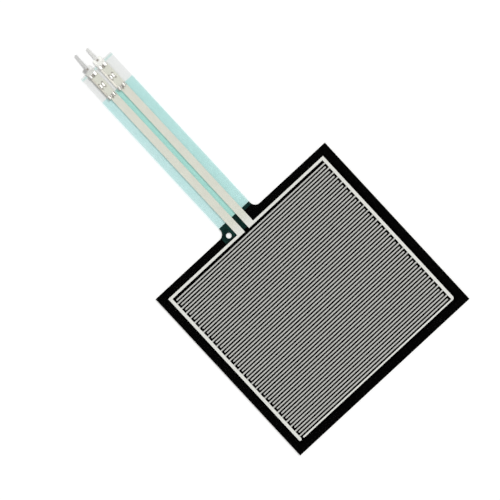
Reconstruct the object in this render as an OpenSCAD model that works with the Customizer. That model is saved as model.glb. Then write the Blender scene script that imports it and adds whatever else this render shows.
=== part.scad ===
// Force sensing resistor: a square pad laminated from two films, with a two-trace tail.
// The pad lies on its back with its centre over the origin. The tail points to +Y, and the
// electrodes are printed under the top film, which faces +Z. All sizes are in millimetres.

/* [Pad] */
// Width of the pad, across the tail
pad_w = 43.1; // [36:0.1:60]
// Length of the pad, along the tail
pad_l = 39.8; // [24:0.1:60]

/* [Tail] */
// Width of the tail
tail_w = 7.62; // [7.2:0.01:12]
// Length of the tail beyond the pad
tail_l = 39.7; // [16:0.1:90]
// Place of the tail's centre line from the pad's
tail_x = -0.1; // [-8:0.1:8]
// Length of the black neck under the root of the tail
neck_l = 1.6; // [1.3:0.1:4]
// Radius of the hollow corners between the tail and the pad
neck_r = 1.25; // [0.4:0.05:2]

/* [Layers] */
// Thickness of the electrode film and of the backing film
film_t = 0.127; // [0.05:0.001:0.25]
// Thickness of the silver ink
silver_t = 0.02; // [0.008:0.001:0.03]
// Thickness of the dielectric coat below the silver
coat_t = 0.02; // [0.01:0.001:0.04]
// Thickness of the spacer adhesive, which is the air gap
spacer_t = 0.152; // [0.1:0.001:0.4]
// Thickness of the carbon ink
carbon_t = 0.015; // [0.008:0.001:0.03]
// Thickness of the rear adhesive
adhesive_t = 0.051; // [0.03:0.001:0.15]
// Thickness of the release liner
liner_t = 0.1; // [0.05:0.01:0.2]
// Bond line left between neighbouring layers
bond = 0.002; // [0.001:0.001:0.005]

/* [Electrodes] */
// Side margin between the pad's edge and the bus bars
side_margin = 1.85; // [1.5:0.05:4]
// Margin between the pad's tail edge and the cross bar
near_margin = 1.6; // [1.5:0.05:4]
// Least margin between the pad's far edge and the end rail
far_margin = 1.9; // [1.5:0.05:4]
// Place of the printed pattern from the centre line of the cut outline
print_x = -0.1; // [-0.3:0.05:0.3]
// Width of the side bus bars
bus_w = 0.6; // [0.4:0.05:1.5]
// Width of the cross bar at the tail edge
bar_w = 0.52; // [0.4:0.01:1.5]
// Width of a finger
finger_w = 0.28; // [0.2:0.01:0.34]
// Distance from finger to finger, both combs counted
finger_pitch = 0.6; // [0.5:0.01:1.5]
// Gap between the cross bar and the first finger
first_gap = 0.57; // [0.2:0.01:1]
// Gap between a finger's free end and the other comb's bus bar
end_gap = 0.4; // [0.2:0.05:1]
// Width of the end rail
rail_w = 0.32; // [0.3:0.01:1]
// Gap between the last finger and the end rail
rail_gap = 0.35; // [0.2:0.01:1]
// Radius of the end rail's outer corner
rail_r = 0.5; // [0.1:0.05:0.6]
// Width of a trace along the tail
trace_w = 1.5; // [1:0.05:1.9]
// Distance between the traces' centre lines
trace_pitch = 2.54; // [2.3:0.01:2.8]
// Distance from the tail's end to the ends of the traces
trace_inset = 1; // [0.5:0.05:1.2]

/* [Dielectric coat] */
// Length of the clear window at the tail's end
window_l = 6; // [4:0.1:7]
// Width of the coat's strip by the tail's end
strip_w = 0.4; // [0.2:0.05:0.6]
// Clear margin between the strip and the tail's end
strip_in = 0.3; // [0.1:0.05:0.35]
// Clearance between the strip and a tab
strip_gap = 0.1; // [0.05:0.05:0.2]
// Distance from the pad's edge to the coat's end on the right
coat_near = 0.9; // [0.1:0.1:1.2]
// How far the coat's lobe round the hole reaches into the pad
lobe_in = 1.4; // [1.3:0.05:1.5]
// How far the coat between the traces reaches into the pad
between_in = 1.7; // [1.5:0.05:2]
// Width of the coat's lobe to the left of the hole's centre
lobe_w = 1.45; // [0.9:0.05:2.5]

/* [Spacer] */
// Width of the spacer's border round the air gap
border_w = 1.45; // [1.3:0.05:1.5]
// Width of the vent channel through the spacer's neck
vent_w = 0.6; // [0.2:0.05:1]

/* [Locating hole] */
// Diameter of the hole through all layers
hole_d = 1.05; // [0.6:0.05:1.4]
// Distance from the pad's tail edge in to the hole's centre
hole_in = 0.6; // [0.4:0.02:0.6]
// Web between the hole and the left trace
hole_web = 0.68; // [0.3:0.02:0.9]

/* [Solder tabs] */
// Distance between the tabs' centre lines
tab_pitch = 2.54; // [2.2:0.01:2.8]
// Place of the pair of tabs from the tail's centre line
tab_x = -0.35; // [-0.5:0.05:0.5]
// Width of a tab
tab_w = 1.75; // [1.5:0.05:1.9]
// Thickness of the tabs' metal
tab_t = 0.2; // [0.1:0.01:0.2]
// Length of a tab under the film
tab_reach = 6.8; // [6.75:0.05:9]
// Length of a tab's nose, beyond the film
tab_nose = 0.85; // [0.4:0.01:1.5]
// Corner radius of a tab
tab_r = 0.25; // [0.1:0.05:0.5]
// Distance from the tail's end to the first crimp
crimp_first = 1.05; // [0.9:0.05:1.15]
// Distance from crimp to crimp
crimp_pitch = 2.6; // [1.5:0.05:2.65]
// Length of a tine along the tab
tine_l = 0.75; // [0.4:0.05:1]
// Length of a tine at its tip
tine_tip = 0.5; // [0.2:0.05:0.7]
// Outer radius of the curl of the end tines
end_curl = 0.35; // [0.28:0.01:0.38]
// Outer radius of the curl of the middle tines
mid_curl = 0.24; // [0.21:0.01:0.24]
// Width over the two middle tines, which stand in from the tab's edges
mid_w = 1; // [1:0.05:1.2]
// Length of the openings at both ends of a middle tine, through film and ink
lance_l = 0.2; // [0.1:0.05:0.3]
// Width of the eye between two end tines, bitten through film and ink
eye_w = 0.3; // [0.1:0.05:0.35]
// Length of that eye
eye_l = 0.55; // [0.2:0.05:0.7]
// Height of the curls' centres over the film
curl_lift = 0.06; // [0.02:0.01:0.2]
// Clearance round a tine in the film
slot_gap = 0.04; // [0.02:0.01:0.1]

/* [Solder pins] */
// Length of the left pin
left_pin_l = 3.1; // [1.5:0.05:6]
// Length of the right pin
right_pin_l = 2.55; // [1.5:0.05:6]
// Lean of the left pin, towards the right one, in degrees
left_pin_lean = 2; // [0:0.5:6]
// Width of a pin at its root
pin_root = 0.6; // [0.4:0.05:0.9]
// Width of a pin at its tip
pin_tip = 0.42; // [0.3:0.02:0.6]
// Length of the chamfers at a pin's tip
pin_chamfer = 0.15; // [0.05:0.05:0.3]
// Diameter of the coined dimple at a pin's root
dimple_d = 0.4; // [0.2:0.05:0.5]
// Depth of the dimple
dimple_h = 0.1; // [0.05:0.01:0.1]

/* [Hidden] */
$fn = 64;

left = -1;
right = 1;
// Overlap of shapes that join into one, and overshoot of shapes that cut
lap = 0.1;

pad_edge = pad_l / 2;
tail_end = pad_edge + tail_l;

// Heights of the layers' undersides, from the surface that the sensor lies on
z_liner = 0;
z_adhesive = z_liner + liner_t + bond;
z_backing = z_adhesive + adhesive_t + bond;
z_carbon = z_backing + film_t + bond;
z_spacer = z_carbon + carbon_t + bond;
z_film = z_spacer + spacer_t + bond;
z_silver = z_film - bond - silver_t;
z_coat = z_silver - bond - coat_t;
z_tab = z_coat - bond - tab_t;
z_top = z_film + film_t;

// The combs fill the pad with an even number of fingers, so that the rail is the right comb's
comb_w = pad_w - 2 * side_margin;
bar_top = pad_edge - near_margin;
first_y = bar_top - bar_w - first_gap - finger_w / 2;
field_l = pad_l - near_margin - bar_w - first_gap - rail_gap - rail_w - far_margin;
fingers = 2 * floor(((field_l - finger_w) / finger_pitch + 1) / 2);
rail_top = first_y - (fingers - 1) * finger_pitch - finger_w / 2 - rail_gap;
rail_bottom = rail_top - rail_w;

trace_x = tail_x + print_x;
trace_gap = trace_pitch - trace_w;
hole_x = trace_x - trace_pitch / 2 - trace_w / 2 - hole_web - hole_d / 2;
hole_y = pad_edge - hole_in;

function trace_centre(side) = trace_x + side * trace_pitch / 2;
function trace_inner(side) = trace_x + side * trace_gap / 2;
function bus_outer(side) = print_x + side * comb_w / 2;
function bus_inner(side) = print_x + side * (comb_w / 2 - bus_w);
function tab_centre(side) = tail_x + tab_x + side * tab_pitch / 2;
function crimp_y(i) = tail_end - crimp_first - i * crimp_pitch;
// The middle of the three crimps is narrower than the two at the ends
function crimp_curl(i) = i == 1 ? mid_curl : end_curl;
function crimp_half(i) = (i == 1 ? mid_w : tab_w) / 2;
function crimp_end(i) = i == 1 ? lance_l : slot_gap;

// A flat layer of thickness t whose underside is at height z
module layer(z, t) {
    translate([0, 0, z]) linear_extrude(t) children();
}

// A rectangle between two places across the sheet and two along it
module block(x0, x1, y0, y1) {
    translate([min(x0, x1), min(y0, y1)]) square([abs(x1 - x0), abs(y1 - y0)]);
}

// What lies between a square corner at the origin and its rounding, with the square grown by g
module corner(r, g = 0) {
    difference() {
        translate([-g, -g]) square(r + g);
        translate([r, r]) circle(r);
    }
}

module rounded(x0, x1, y0, y1, r) {
    block(x0 + r, x1 - r, y0, y1);
    block(x0, x1, y0 + r, y1 - r);
    for (x = [x0 + r, x1 - r], y = [y0 + r, y1 - r]) translate([x, y]) circle(r);
}

module hole() {
    translate([hole_x, hole_y]) circle(d = hole_d);
}

// The tail with its hollow corners, as far as reach beyond the pad
module tail(reach) {
    intersection() {
        union() {
            block(tail_x - tail_w / 2, tail_x + tail_w / 2, pad_edge - lap, tail_end);
            for (side = [left, right])
                translate([tail_x + side * tail_w / 2, pad_edge])
                    mirror([side == left ? 1 : 0, 0]) corner(neck_r, lap);
        }
        block(-pad_w / 2, pad_w / 2, pad_edge - lap, pad_edge + reach);
    }
}

// The cut outline of a sheet whose tail is as long as reach
module outline(reach) {
    difference() {
        union() {
            square([pad_w, pad_l], center = true);
            tail(reach);
        }
        hole();
    }
}

// The slots that the tines pierce, with the eyes of the end crimps
module tine_slots() {
    for (side = [left, right], i = [0:2]) translate([tab_centre(side), crimp_y(i)]) {
        for (wall = [left, right]) translate([wall * (crimp_half(i) - tab_t / 2), 0])
            square([tab_t + 2 * slot_gap, tine_l + 2 * crimp_end(i)], center = true);
        if (i != 1) square([eye_w, eye_l], center = true);
    }
}

module trace(side, g = 0) {
    block(
        trace_centre(side) - trace_w / 2 - g, trace_centre(side) + trace_w / 2 + g,
        bar_top - bar_w, tail_end - trace_inset + g
    );
}

// A finger or rail from one comb's bus bar to a round end short of the other's
module finger(side, y, w) {
    tip = bus_inner(-side) + side * (end_gap + w / 2);
    block(bus_inner(side) + side * lap, tip, y - w / 2, y + w / 2);
    translate([tip, y]) circle(d = w);
}

module comb(side) {
    block(bus_outer(side), trace_inner(side), bar_top - bar_w, bar_top);
    for (i = [side == right ? 0 : 1 : 2 : fingers - 1])
        finger(side, first_y - i * finger_pitch, finger_w);
    if (side == right) difference() {
        union() {
            block(bus_outer(side), bus_inner(side), rail_bottom, bar_top);
            finger(side, rail_bottom + rail_w / 2, rail_w);
        }
        translate([bus_outer(side), rail_bottom]) mirror([1, 0]) corner(rail_r);
    } else {
        block(bus_outer(side), bus_inner(side), rail_bottom + bus_w / 2, bar_top);
        translate([bus_outer(side) - side * bus_w / 2, rail_bottom + bus_w / 2])
            circle(d = bus_w);
    }
}

// The strip of coat by the tail's end, which leaves the tabs' places free
module end_strip() {
    difference() {
        block(-pad_w / 2, pad_w / 2, tail_end - strip_in - strip_w, tail_end - strip_in);
        for (side = [left, right])
            block(
                tab_centre(side) - tab_w / 2 - strip_gap, tab_centre(side) + tab_w / 2 + strip_gap,
                tail_end - strip_in - strip_w - lap, tail_end - strip_in + lap
            );
    }
}

// The coat's outline: the tail from neck to window, the lobe round the hole, and the end strip
module coat_area() {
    intersection() {
        union() {
            block(-pad_w / 2, pad_w / 2, pad_edge + coat_near, tail_end - window_l);
            end_strip();
            block(
                hole_x - lobe_w, trace_inner(right) + lap,
                pad_edge - lobe_in, pad_edge + coat_near + lap
            );
            block(
                trace_inner(left) - lap, trace_inner(right) + lap,
                pad_edge - between_in, pad_edge - lobe_in + lap
            );
        }
        outline(tail_l);
    }
}

// The room that the traces take in the layers below them
module trace_relief() {
    for (side = [left, right]) layer(z_silver - bond, z_film - z_silver + lap) trace(side, bond);
}

module electrode(side) {
    layer(z_silver, silver_t) difference() {
        union() {
            comb(side);
            trace(side);
        }
        tine_slots();
    }
}

// A pin from the origin towards +Y
module pin(length) {
    polygon([
        [-pin_root / 2, -lap], [pin_root / 2, -lap],
        [pin_tip / 2, length - pin_chamfer], [pin_tip / 4, length],
        [-pin_tip / 4, length], [-pin_tip / 2, length - pin_chamfer]
    ]);
}

// The right half of a crimp in section: a wall through the film that curls in and down again.
// Its outer face stands at half from the tab's centre line.
module tine_section(half, r) {
    curl_z = z_top + curl_lift;
    curl_x = half - r;
    block(half - tab_t, half, z_tab, curl_z);
    block(curl_x - r, curl_x - r + tab_t, z_top + bond, curl_z);
    intersection() {
        translate([curl_x, curl_z]) difference() {
            circle(r);
            circle(r - tab_t);
        }
        block(curl_x - r, curl_x + r, curl_z, curl_z + r);
    }
}

// A tine to the right of the tab's centre line, narrowing from its wall to its tip
module tine(half, r) {
    intersection() {
        rotate([90, 0, 0]) linear_extrude(tine_l, center = true) tine_section(half, r);
        linear_extrude(z_top + curl_lift + r + lap) polygon([
            [half - tab_t, -tine_l / 2], [half + lap, -tine_l / 2],
            [half + lap, tine_l / 2], [half - tab_t, tine_l / 2],
            [half - 2 * r, tine_tip / 2], [half - 2 * r, -tine_tip / 2]
        ]);
    }
}

module solder_tab(side, pin_l, lean) {
    difference() {
        layer(z_tab, tab_t) union() {
            rounded(
                tab_centre(side) - tab_w / 2, tab_centre(side) + tab_w / 2,
                tail_end - tab_reach, tail_end + tab_nose, tab_r
            );
            translate([tab_centre(side), tail_end + tab_nose]) rotate(-lean) pin(pin_l);
        }
        translate([tab_centre(side), tail_end + tab_nose / 2, z_tab + tab_t - dimple_h])
            cylinder(h = dimple_h + lap, r1 = 0, r2 = dimple_d / 2 * (1 + lap / dimple_h));
    }
    for (i = [0:2], wall = [left, right])
        translate([tab_centre(side), crimp_y(i), 0])
            mirror([wall == left ? 1 : 0, 0, 0]) tine(crimp_half(i), crimp_curl(i));
}

module release_liner() {
    color("ivory") layer(z_liner, liner_t) outline(neck_l);
}

module rear_adhesive() {
    color([0.85, 0.83, 0.75, 0.6]) layer(z_adhesive, adhesive_t) outline(neck_l);
}

module backing_film() {
    color([0.9, 0.9, 0.88, 0.4]) layer(z_backing, film_t) outline(neck_l);
}

module carbon_layer() {
    color([0.03, 0.03, 0.03]) layer(z_carbon, carbon_t) outline(neck_l);
}

module spacer_adhesive() {
    color([0.8, 0.8, 0.78, 0.5]) difference() {
        layer(z_spacer, spacer_t) difference() {
            outline(neck_l);
            square([pad_w - 2 * border_w, pad_l - 2 * border_w], center = true);
            block(
                trace_x - vent_w / 2, trace_x + vent_w / 2,
                pad_edge - border_w - lap, pad_edge + neck_l + lap
            );
        }
        trace_relief();
        layer(z_coat - bond, z_film - z_coat + lap) coat_area();
    }
}

module dielectric_coat() {
    color([0.62, 0.85, 0.8, 0.7]) difference() {
        layer(z_coat, z_film - bond - z_coat) difference() {
            coat_area();
            tine_slots();
        }
        trace_relief();
    }
}

module left_electrode() {
    color([0.86, 0.85, 0.81]) electrode(left);
}

module right_electrode() {
    color([0.86, 0.85, 0.81]) electrode(right);
}

module electrode_film() {
    color([0.93, 0.94, 0.93, 0.25]) layer(z_film, film_t) difference() {
        outline(tail_l);
        tine_slots();
    }
}

module left_solder_tab() {
    color([0.78, 0.78, 0.76]) solder_tab(left, left_pin_l, left_pin_lean);
}

module right_solder_tab() {
    color([0.78, 0.78, 0.76]) solder_tab(right, right_pin_l, 0);
}

release_liner();
rear_adhesive();
backing_film();
carbon_layer();
spacer_adhesive();
dielectric_coat();
left_electrode();
right_electrode();
electrode_film();
left_solder_tab();
right_solder_tab();
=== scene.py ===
"""The looks of the force sensing resistor: node materials on its CAD nodes, floor, light, camera."""

import math

import bpy
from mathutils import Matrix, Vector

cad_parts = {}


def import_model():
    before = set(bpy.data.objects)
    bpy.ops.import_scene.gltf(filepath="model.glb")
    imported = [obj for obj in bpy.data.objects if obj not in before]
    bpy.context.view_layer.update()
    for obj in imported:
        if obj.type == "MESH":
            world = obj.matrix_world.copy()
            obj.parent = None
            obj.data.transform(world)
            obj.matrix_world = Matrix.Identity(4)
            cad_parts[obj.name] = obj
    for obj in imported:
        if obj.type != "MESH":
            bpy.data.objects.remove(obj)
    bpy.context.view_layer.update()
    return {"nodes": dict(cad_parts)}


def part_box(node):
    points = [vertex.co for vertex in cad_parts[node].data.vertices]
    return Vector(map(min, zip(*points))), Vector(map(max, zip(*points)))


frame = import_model()
nodes = frame["nodes"]

MM = 0.001
X, Y, Z = range(3)
WHITE = (1, 1, 1, 1)


def span(node, axis):
    """Where a CAD node begins and ends along an axis, in millimetres."""
    low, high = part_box(node)
    return low[axis] / MM, high[axis] / MM


# The printed pattern, in millimetres
BUS_W = 0.6
PRINT_LEFT, PRINT_RIGHT = span("left_electrode", X)[0], span("right_electrode", X)[1]
PRINT_X = (PRINT_LEFT + PRINT_RIGHT) / 2
FIELD_HALF = (PRINT_RIGHT - PRINT_LEFT) / 2 - BUS_W  # from its middle to the bus bars
FIELD_END = span("right_electrode", Y)[0] + 0.49  # between the end rail and the last finger

# The pad and the tail. The pad's middle is at Y 0
PAD_START, TAIL_END = span("electrode_film", Y)
PAD_EDGE = -PAD_START
FIELD_TOP = PAD_EDGE - 2.4  # between the cross bar and the first finger
TRACE_TURN = PAD_EDGE - 1.4, PAD_EDGE + 0.6  # from the bars' tone to the traces'
TRACE_X, COAT_HALF = PRINT_X - 0.1, 0.52  # middle between the traces, and half their gap
STRIP_FROM = TAIL_END - 1.0  # the coat beyond this is the strip at the tail's end

# The tabs: the middle between them, each tab's middle from there, and their crimps
LEFT_TAB, RIGHT_TAB = span("left_solder_tab", X), span("right_solder_tab", X)
TAB_X = (LEFT_TAB[0] + RIGHT_TAB[1]) / 2
TAB_OFF = (sum(RIGHT_TAB) - sum(LEFT_TAB)) / 4
PLATE_TOP = span("left_solder_tab", Z)[0] + 0.206  # just over the tabs' flat metal
CRIMPS = [TAIL_END - 1.05 - i * 2.6 for i in range(3)]
SHADED_EDGE_TO = TAIL_END - 0.7  # how far up the left tab's edge has painted shade

# Pits in the tabs, from a tab's middle: across, along, half width, half length
EYES = [(0.0, CRIMPS[0] - 0.05, 0.18, 0.28), (0.0, CRIMPS[2] - 0.25, 0.11, 0.2)]
LANCED = [(0.4, CRIMPS[1] + end * 0.475, 0.14, 0.10) for end in (-1, 1)]
DIMPLE = 0.0, TAIL_END + 0.425, 0.2, 0.2
PIT_SHADE_FADE = 0.9, 1.3  # where a pit's painted shade starts to fade and where it ends, in its radii

# Painted shade in the silver round those pits, where the curled tines shade the ink
LANCED_SHADE = 0.2, 0.24  # half width and half length at the lanced pits
EYE_SHADE = 1.5, 1.3  # the same at the eyes, in their own half sizes
EYE_SHADE_BACK = 0.12  # how far those lie back from the eyes, towards the pad
SHADE_FADE, SHADE_SHARE = (0.5, 1.4), 0.8  # where a spot fades, in its radii, and how strong it is

# Where the metal's tone turns along the tabs, as the start and the end of the change
FLATS_TURN = CRIMPS[0] - 0.5, CRIMPS[0] - 0.2
FIRST_TURN = CRIMPS[0] - 0.6, CRIMPS[0] - 0.4
LAST_TURN = CRIMPS[2] + 0.4, CRIMPS[2] + 0.6
BRIDGE_TURN = CRIMPS[0] + 0.3, CRIMPS[0] + 0.5
NOSE_TURN = TAIL_END - 0.1, TAIL_END + 0.2

# Where it turns across them: the left tab's shaded edge by X, the others out from a tab's middle
SHADED_EDGE_TURN = LEFT_TAB[0] + 0.115, LEFT_TAB[0] + 0.215
SIDE_TURN = 0.1, 0.3
OUTER_TURN, INNER_TURN = (0.3, 0.45), (-0.45, -0.3)

EDGE_ROUND, EDGE_FROM = 0.02, 50  # the tabs' bevel in millimetres, and from what angle in degrees

# Camera, from the photo's four pad corners and the axis of the tail
VIEW_X, VIEW_Y, VIEW_HEIGHT = -2.3502, 14.653, 600.0
VIEW_ROLL = -42.796
PIXELS_PER_MM, PHOTO_SIDE, SENSOR = 5.3489, 500, 36.0
CLIP_NEAR, CLIP_FAR = 0.01, 10  # in metres

# Floor, in metres, its tone and what it adds towards white for the camera and for gloss
FLOOR_HALF, FLOOR_DROP = 2.0, 0.03 * MM
FLOOR_TONE, FLOOR_GLOW = 0.93, 0.12

# World: its light on matt surfaces, and the dim cap overhead that gloss mirrors
PLAIN_LIGHT = 0.45
CAP_TURN, CAP_LEVEL = (0.93, 0.995), 0.01  # where the cap sets in, by how steep a ray is

ALL_BOUNCES = 1024  # Blender's own setting
MIX_FIRST, MIX_SECOND, MIX_RESULT = 6, 7, 2  # the Mix node's colour sockets


def add(tree, kind, inputs=None, **settings):
    """A node with its settings, and with inputs set to values or linked to sockets."""
    made = tree.nodes.new(kind)
    for key, value in settings.items():
        setattr(made, key, value)
    for key, value in (inputs or {}).items():
        if isinstance(value, bpy.types.NodeSocket):
            tree.links.new(value, made.inputs[key])
        else:
            made.inputs[key].default_value = value
    return made


def material(name):
    """A new material, its tree, and the place on the object in millimetres."""
    made = bpy.data.materials.new(name)
    made.use_nodes = True
    tree = made.node_tree
    tree.nodes.clear()
    place = add(tree, "ShaderNodeTexCoord")
    scaled = add(
        tree, "ShaderNodeVectorMath", {0: place.outputs["Object"], "Scale": 1 / MM},
        operation="SCALE",
    )
    return made, tree, scaled.outputs["Vector"]


def shade(tree, shader):
    """Ends the tree with this shader."""
    tree.links.new(shader.outputs[0], add(tree, "ShaderNodeOutputMaterial").inputs["Surface"])


def split(tree, vector):
    """The vector's X, Y and Z."""
    parts = add(tree, "ShaderNodeSeparateXYZ", {0: vector}).outputs
    return parts["X"], parts["Y"], parts["Z"]


def math_node(tree, operation, first, second=0.0):
    """The result of one operation on one or two values."""
    made = add(tree, "ShaderNodeMath", {0: first, 1: second}, operation=operation)
    return made.outputs[0]


def noise(tree, place, size, detail=2.0, stretch=None):
    """Noise whose features are about size millimetres across, from 0 to 1."""
    if stretch:
        place = add(
            tree, "ShaderNodeVectorMath", {0: place, 1: stretch}, operation="MULTIPLY"
        ).outputs["Vector"]
    made = add(
        tree, "ShaderNodeTexNoise", {"Vector": place, "Scale": 1 / size, "Detail": detail}
    )
    return made.outputs["Fac"]


def spread(tree, value, low, high, start=0.3, end=0.7):
    """value from start to end, as low to high."""
    made = add(
        tree, "ShaderNodeMapRange",
        {"Value": value, "From Min": start, "From Max": end, "To Min": low, "To Max": high},
    )
    return made.outputs["Result"]


def beyond(tree, value, turn):
    """0 before a turn and 1 after it."""
    return spread(tree, value, 0.0, 1.0, *turn)


def before(tree, value, turn):
    """1 before a turn and 0 after it."""
    return spread(tree, value, 1.0, 0.0, *turn)


def blend(tree, factor, first, second):
    """A colour from first to second, each of them a socket or three numbers."""
    ends = [
        end if isinstance(end, bpy.types.NodeSocket) else (*end, 1) for end in (first, second)
    ]
    made = add(
        tree, "ShaderNodeMix", {"Factor": factor, MIX_FIRST: ends[0], MIX_SECOND: ends[1]},
        data_type="RGBA",
    )
    return made.outputs[MIX_RESULT]


def bump(tree, height, depth):
    """A normal from a height of 0 to 1 that is depth millimetres deep."""
    made = add(
        tree, "ShaderNodeBump", {"Height": height, "Distance": depth * MM, "Strength": 1.0}
    )
    return made.outputs["Normal"]


def mix_shaders(tree, factor, first, second):
    """A shader from first to second."""
    return add(
        tree, "ShaderNodeMixShader", {0: factor, 1: first.outputs[0], 2: second.outputs[0]}
    )


def gloss_share(tree, straight):
    """How much a clear surface mirrors: the share straight on, rising towards grazing.

    The far face of a sheet mirrors nothing, as ink or adhesive is bonded to it.
    """
    facing = add(tree, "ShaderNodeLayerWeight", {"Blend": 0.5}).outputs["Facing"]
    grazing = math_node(tree, "POWER", facing, 5.0)
    share = spread(tree, grazing, straight, 1.0, 0.0, 1.0)
    far = add(tree, "ShaderNodeNewGeometry").outputs["Backfacing"]
    return math_node(tree, "MULTIPLY", share, math_node(tree, "SUBTRACT", 1.0, far))


def from_tab(tree, side):
    """How far out from the nearest tab's middle line, and less than 0 towards the other tab."""
    off = math_node(tree, "ABSOLUTE", math_node(tree, "SUBTRACT", side, TAB_X))
    return math_node(tree, "SUBTRACT", off, TAB_OFF)


def spot(tree, across, along, oval, fade):
    """1 in a soft-edged oval on either side of the middle line, and 0 outside it."""
    x, y, half_x, half_y = oval
    aside = math_node(tree, "SUBTRACT", math_node(tree, "ABSOLUTE", across), x)
    ahead = math_node(tree, "SUBTRACT", along, y)
    squares = [
        math_node(tree, "POWER", math_node(tree, "DIVIDE", off, half), 2.0)
        for off, half in ((aside, half_x), (ahead, half_y))
    ]
    return before(tree, math_node(tree, "SQRT", math_node(tree, "ADD", *squares)), fade)


def clear(name, tint, mirror, rough, wave):
    """A clear sheet: it tints what is behind it, and mirrors by angle.

    mirror is its share straight on, and wave the size of its unevenness in millimetres.
    """
    made, tree, place = material(name)
    waves = noise(tree, place, wave, 3.0)
    scuffs = noise(tree, place, 0.5, 4.0, (6, 0.4, 1))
    cloud = noise(tree, place, 7.0)
    darker, paler = 0.994, 1.004
    colour = blend(tree, cloud, [t * darker for t in tint], [min(1, t * paler) for t in tint])
    through = add(tree, "ShaderNodeBsdfTransparent", {"Color": colour})
    gloss = add(
        tree, "ShaderNodeBsdfGlossy",
        {
            "Color": WHITE, "Roughness": spread(tree, scuffs, rough, rough * 2.2),
            "Normal": bump(tree, waves, 0.006),
        },
    )
    shade(tree, mix_shaders(tree, gloss_share(tree, mirror), through, gloss))
    return made


def silver_ink():
    """Screen-printed silver: matt, fine grained, thinner and greyer in the fingers."""
    made, tree, place = material("silver_ink")
    grain = noise(tree, place, 0.06, 3.0)
    mottle = noise(tree, place, 1.6, 2.0)
    side, along, _ = split(tree, place)
    off = math_node(tree, "ABSOLUTE", math_node(tree, "SUBTRACT", side, PRINT_X))
    inside = math_node(tree, "LESS_THAN", off, FIELD_HALF)
    below = math_node(tree, "LESS_THAN", along, FIELD_TOP)
    above = math_node(tree, "GREATER_THAN", along, FIELD_END)
    field = math_node(tree, "MULTIPLY", inside, math_node(tree, "MULTIPLY", below, above))
    tail = beyond(tree, along, TRACE_TURN)
    bars = blend(tree, mottle, (0.90, 0.885, 0.84), (0.94, 0.93, 0.885))
    traces = blend(tree, mottle, (0.82, 0.81, 0.715), (0.87, 0.865, 0.77))
    fingers = blend(tree, mottle, (0.585, 0.575, 0.55), (0.665, 0.655, 0.63))
    colour = blend(tree, field, blend(tree, tail, bars, traces), fingers)

    across = from_tab(tree, side)
    # Dark spots round the pits are painted shade, under and between the curled tines
    painted_shade_tone, speck_tone = (0.27, 0.25, 0.21), (0.62, 0.61, 0.57)
    by_lanced = [(x, y, *LANCED_SHADE) for x, y, _, _ in LANCED]
    by_eyes = [(x, y - EYE_SHADE_BACK, w * EYE_SHADE[0], h * EYE_SHADE[1]) for x, y, w, h in EYES]
    for oval in (*by_lanced, *by_eyes):
        shaded_spot = math_node(tree, "MULTIPLY", spot(tree, across, along, oval, SHADE_FADE), SHADE_SHARE)
        colour = blend(tree, shaded_spot, colour, painted_shade_tone)
    speckled = blend(tree, spread(tree, grain, 0.0, 0.06), colour, speck_tone)
    ink = add(
        tree, "ShaderNodeBsdfPrincipled",
        {
            "Base Color": speckled, "Roughness": spread(tree, grain, 0.5, 0.68),
            "Metallic": 0.15, "Specular IOR Level": 0.3,
            "Normal": bump(tree, grain, 0.004),
        },
    )
    shade(tree, ink)
    return made


def carbon_ink():
    """Black ink: matt, with a faint cloud in it."""
    made, tree, place = material("carbon_ink")
    grain = noise(tree, place, 0.09, 3.0)
    cloud = spread(tree, noise(tree, place, 3.0), 0.0, 1.0)
    colour = blend(tree, cloud, (0.0003, 0.0002, 0.0002), (0.0008, 0.0006, 0.0005))
    ink = add(
        tree, "ShaderNodeBsdfPrincipled",
        {
            "Base Color": colour, "Roughness": spread(tree, grain, 0.55, 0.8),
            "Specular IOR Level": 0.0, "Normal": bump(tree, grain, 0.004),
        },
    )
    shade(tree, ink)
    return made


def teal_dielectric():
    """A translucent coat: it tints what is behind it and scatters a little teal of its own."""
    made, tree, place = material("teal_dielectric")
    cloud = spread(tree, noise(tree, place, 2.5, 3.0, (1, 0.35, 1)), 0.0, 1.0)
    grain = noise(tree, place, 0.12, 2.0)
    across, along, _ = split(tree, place)
    off = math_node(tree, "ABSOLUTE", math_node(tree, "SUBTRACT", across, TRACE_X))
    between = math_node(tree, "LESS_THAN", off, COAT_HALF)
    strip = math_node(tree, "GREATER_THAN", along, STRIP_FROM)
    # The coat between the traces is darker and deeper teal: painted shade from the traces on either
    # side
    between_shade_tint, strip_tint = (0.834, 0.974, 0.950), (0.935, 0.988, 0.98)
    left = blend(tree, cloud, (0.900, 0.990, 0.990), (0.916, 0.995, 0.996))
    right = blend(tree, cloud, (0.873, 0.982, 0.975), (0.888, 0.988, 0.984))
    outer = blend(tree, math_node(tree, "GREATER_THAN", across, TRACE_X), left, right)
    tint = blend(tree, strip, blend(tree, between, outer, between_shade_tint), strip_tint)
    own = blend(tree, spread(tree, grain, 0.0, 1.0), (0.13, 0.88, 0.76), (0.18, 0.97, 0.85))

    through = add(tree, "ShaderNodeBsdfTransparent", {"Color": tint})
    ink = add(
        tree, "ShaderNodeBsdfDiffuse",
        {"Color": own, "Roughness": 0.3, "Normal": bump(tree, grain, 0.003)},
    )
    haze = spread(tree, noise(tree, place, 1.1, 3.0), 0.006, 0.024)
    gloss = add(
        tree, "ShaderNodeBsdfGlossy",
        {"Color": WHITE, "Roughness": spread(tree, grain, 0.22, 0.34)},
    )
    body = mix_shaders(tree, haze, through, ink)
    shade(tree, mix_shaders(tree, gloss_share(tree, 0.005), body, gloss))
    return made


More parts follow.
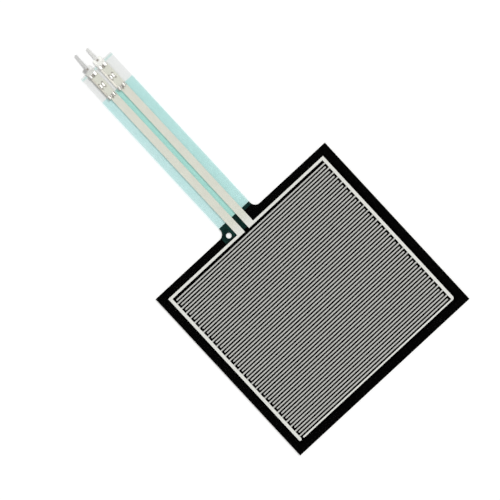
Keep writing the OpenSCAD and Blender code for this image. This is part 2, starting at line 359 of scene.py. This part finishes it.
def liner_paper():
    """Glassine release paper: off-white, silky, with faint fibres along it."""
    made, tree, place = material("liner_paper")
    fibres = noise(tree, place, 0.35, 5.0, (1.0, 0.22, 1))
    cloud = noise(tree, place, 4.5, 3.0)
    fibre_tone = (0.90, 0.875, 0.80)
    pulp = blend(tree, cloud, (0.83, 0.79, 0.69), (0.87, 0.84, 0.75))
    colour = blend(tree, spread(tree, fibres, 0.0, 1.0), pulp, fibre_tone)
    paper = add(
        tree, "ShaderNodeBsdfPrincipled",
        {
            "Base Color": colour, "Roughness": spread(tree, fibres, 0.38, 0.52),
            "Specular IOR Level": 0.4, "Sheen Weight": 0.1, "Sheen Roughness": 0.4,
            "Normal": bump(tree, fibres, 0.006),
        },
    )
    shade(tree, paper)
    return made


def nose_tone(tree, patches, across, right, shaded_left_side):
    """The tone of the noses and pins, darker but for their shoulders, which carry painted
    highlights.
    """
    # The left tab's darker nose and its darkest left side are painted shade
    left_nose = blend(tree, patches, (0.31, 0.31, 0.305), (0.43, 0.43, 0.425))
    left_nose = blend(tree, shaded_left_side, left_nose, (0.25, 0.25, 0.245))
    right_nose = blend(tree, patches, (0.37, 0.37, 0.36), (0.50, 0.50, 0.485))
    # The shoulders' inner sides, and the right tab's outer side, get a painted highlight
    inner = before(tree, across, INNER_TURN)
    outer = math_node(tree, "MULTIPLY", right, beyond(tree, across, OUTER_TURN))
    return blend(
        tree, math_node(tree, "MAXIMUM", inner, outer),
        blend(tree, right, left_nose, right_nose),
        blend(tree, right, (0.50, 0.50, 0.485), (0.57, 0.57, 0.54)),
    )


def tinned_metal():
    """Tin plate, fine drawing lines along the tab, worn duller in places; painted shade and
    highlights.
    """
    made, tree, place = material("tinned_metal")
    lines = noise(tree, place, 0.05, 3.0, (1, 0.08, 1))
    patches = spread(tree, noise(tree, place, 0.4, 3.0), 0.0, 1.0)
    side, along, height = split(tree, place)
    across = from_tab(tree, side)
    right = math_node(tree, "GREATER_THAN", side, TAB_X)
    low = math_node(tree, "LESS_THAN", height, PLATE_TOP)

    # Zones of the metal and their tones, each over the ones before it
    # The left tab's tones are darker than the right's, its left side darker still: painted shade
    # away from the key lamp
    shaded_left_side = math_node(tree, "SUBTRACT", beyond(tree, across, SIDE_TURN), right)
    first_side = math_node(tree, "MULTIPLY", beyond(tree, along, FIRST_TURN), shaded_left_side)
    flats = math_node(tree, "MULTIPLY", low, before(tree, along, FLATS_TURN))
    # The left tab's left edge is darkened: painted shade on the side away from the key lamp
    in_film = math_node(tree, "LESS_THAN", along, SHADED_EDGE_TO)
    shaded_edge = math_node(tree, "MULTIPLY", before(tree, side, SHADED_EDGE_TURN), in_film)
    zones = [
        (first_side, (0.54, 0.53, 0.51)),
        (flats, blend(tree, right, (0.58, 0.55, 0.49), (0.68, 0.65, 0.59))),
        (before(tree, along, LAST_TURN), (0.50, 0.49, 0.46)),
        (
            beyond(tree, along, BRIDGE_TURN),
            blend(tree, right, (0.55, 0.545, 0.52), (0.68, 0.67, 0.64)),
        ),
        (
            beyond(tree, along, NOSE_TURN),
            nose_tone(tree, patches, across, right, shaded_left_side),
        ),
        (shaded_edge, (0.35, 0.34, 0.31)),
    ]
    # The metal in the pits and the dimple is darkened: painted shade in these hollows
    pit_shade_tone = (0.29, 0.27, 0.24)
    for pit in (*EYES, *LANCED, DIMPLE):
        pit_shade = math_node(tree, "MULTIPLY", low, spot(tree, across, along, pit, PIT_SHADE_FADE))
        zones.append((pit_shade, pit_shade_tone))
    colour = blend(tree, patches, (0.65, 0.64, 0.615), (0.75, 0.74, 0.72))
    for zone, tone in zones:
        colour = blend(tree, zone, colour, tone)

    dull = spread(tree, patches, 0.42, 0.52, 0.0, 1.0)
    tin = add(
        tree, "ShaderNodeBsdfPrincipled",
        {
            "Base Color": colour, "Metallic": 1.0,
            "Roughness": math_node(tree, "ADD", dull, spread(tree, lines, 0.0, 0.08)),
            "Normal": bump(tree, lines, 0.003),
        },
    )
    shade(tree, tin)
    return made


def dress_nodes():
    """Puts its material on each CAD node."""
    film = clear("clear_film", (0.9385, 0.943, 0.9405), mirror=0.03, rough=0.035, wave=6.0)
    adhesive = clear("clear_adhesive", (0.985, 0.98, 0.965), mirror=0.004, rough=0.12, wave=2.0)
    silver, carbon, teal = silver_ink(), carbon_ink(), teal_dielectric()
    paper, tin = liner_paper(), tinned_metal()
    finish = {
        "release_liner": paper,
        "rear_adhesive": adhesive,
        "backing_film": film,
        "carbon_layer": carbon,
        "spacer_adhesive": adhesive,
        "dielectric_coat": teal,
        "left_electrode": silver,
        "right_electrode": silver,
        "electrode_film": film,
        "left_solder_tab": tin,
        "right_solder_tab": tin,
    }
    for name, made in finish.items():
        mesh = nodes[name].data
        mesh.materials.clear()
        mesh.materials.append(made)


def round_tabs():
    """Takes the sharpness off the tabs' edges."""
    for name in ("left_solder_tab", "right_solder_tab"):
        edge = nodes[name].modifiers.new("edges", "BEVEL")
        edge.width, edge.segments = EDGE_ROUND * MM, 2
        edge.limit_method, edge.angle_limit = "ANGLE", math.radians(EDGE_FROM)


def studio_floor():
    """A pale floor that keeps the shadow, reads as white to the camera and is clear from below."""
    half = FLOOR_HALF
    mesh = bpy.data.meshes.new("floor")
    mesh.from_pydata(
        [(-half, -half, 0), (half, -half, 0), (half, half, 0), (-half, half, 0)],
        [], [(0, 1, 2, 3)],
    )
    floor = bpy.data.objects.new("floor", mesh)
    floor.location.z = -FLOOR_DROP
    bpy.context.scene.collection.objects.link(floor)
    made, tree, _ = material("floor")
    path = add(tree, "ShaderNodeLightPath")
    seen = math_node(
        tree, "MAXIMUM", path.outputs["Is Camera Ray"],
        math_node(
            tree, "MAXIMUM", path.outputs["Is Glossy Ray"], path.outputs["Is Transmission Ray"]
        ),
    )
    base = add(
        tree, "ShaderNodeBsdfDiffuse", {"Color": (FLOOR_TONE, FLOOR_TONE, FLOOR_TONE, 1)}
    )
    glow = add(
        tree, "ShaderNodeEmission",
        {"Color": WHITE, "Strength": math_node(tree, "MULTIPLY", seen, FLOOR_GLOW)},
    )
    front = add(tree, "ShaderNodeAddShader", {0: base.outputs[0], 1: glow.outputs[0]})
    back = add(tree, "ShaderNodeBsdfTransparent")
    underside = add(tree, "ShaderNodeNewGeometry").outputs["Backfacing"]
    shade(tree, mix_shaders(tree, underside, front, back))
    mesh.materials.append(made)
    # Light from below reaches the object's underside, for views from there
    floor.visible_shadow = floor.visible_diffuse = False


def studio_world():
    """White to the camera, plain light to the object, and a dim cap in what gloss mirrors."""
    world = bpy.data.worlds.new("studio")
    bpy.context.scene.world = world
    world.use_nodes = True
    tree = world.node_tree
    tree.nodes.clear()
    path = add(tree, "ShaderNodeLightPath")
    towards = add(tree, "ShaderNodeTexCoord").outputs["Generated"]
    _, _, height = split(tree, towards)
    ceiling = spread(tree, height, 1.0, CAP_LEVEL, *CAP_TURN)
    mirrored = math_node(tree, "MULTIPLY", path.outputs["Is Glossy Ray"], ceiling)
    seen = math_node(
        tree, "MAXIMUM", path.outputs["Is Camera Ray"], path.outputs["Is Transmission Ray"]
    )
    direct = math_node(tree, "MAXIMUM", seen, mirrored)
    glossy_or_seen = math_node(tree, "MAXIMUM", seen, path.outputs["Is Glossy Ray"])
    other = math_node(tree, "SUBTRACT", 1.0, glossy_or_seen)
    plain = math_node(tree, "MULTIPLY", other, PLAIN_LIGHT)
    shader = add(
        tree, "ShaderNodeBackground",
        {"Color": WHITE, "Strength": math_node(tree, "ADD", direct, plain)},
    )
    out = add(tree, "ShaderNodeOutputWorld")
    tree.links.new(shader.outputs[0], out.inputs["Surface"])


def soft_lamp(name, azimuth, elevation, level, width, bounces=ALL_BOUNCES):
    """A broad lamp that adds level to a white level surface.

    Angles are in degrees, and azimuth counts from +X. With no bounces it lights only what is
    seen directly.
    """
    lamp = bpy.data.lights.new(name, "SUN")
    lamp.energy = level * math.pi / abs(math.sin(math.radians(elevation)))
    lamp.angle = math.radians(width)
    lamp.cycles.max_bounces = bounces
    made = bpy.data.objects.new(name, lamp)
    made.rotation_euler = (0, math.radians(90 - elevation), math.radians(azimuth))
    bpy.context.scene.collection.objects.link(made)


def studio_camera():
    """Straight above, where the photo's camera stood."""
    lens = bpy.data.cameras.new("camera")
    lens.sensor_width = SENSOR
    lens.lens = PIXELS_PER_MM * VIEW_HEIGHT * SENSOR / PHOTO_SIDE
    lens.clip_start, lens.clip_end = CLIP_NEAR, CLIP_FAR
    camera = bpy.data.objects.new("camera", lens)
    camera.location = (VIEW_X * MM, VIEW_Y * MM, VIEW_HEIGHT * MM)
    camera.rotation_euler = (0, 0, math.radians(VIEW_ROLL))
    bpy.context.scene.collection.objects.link(camera)
    bpy.context.scene.camera = camera


dress_nodes()
round_tabs()
studio_floor()
studio_world()
soft_lamp("key", azimuth=8, elevation=66, level=0.42, width=20)
soft_lamp("fill", azimuth=170, elevation=66, level=0.13, width=30)
soft_lamp("under", azimuth=40, elevation=-60, level=0.38, width=40, bounces=0)
studio_camera()
bpy.context.scene.view_settings.view_transform = "Standard"
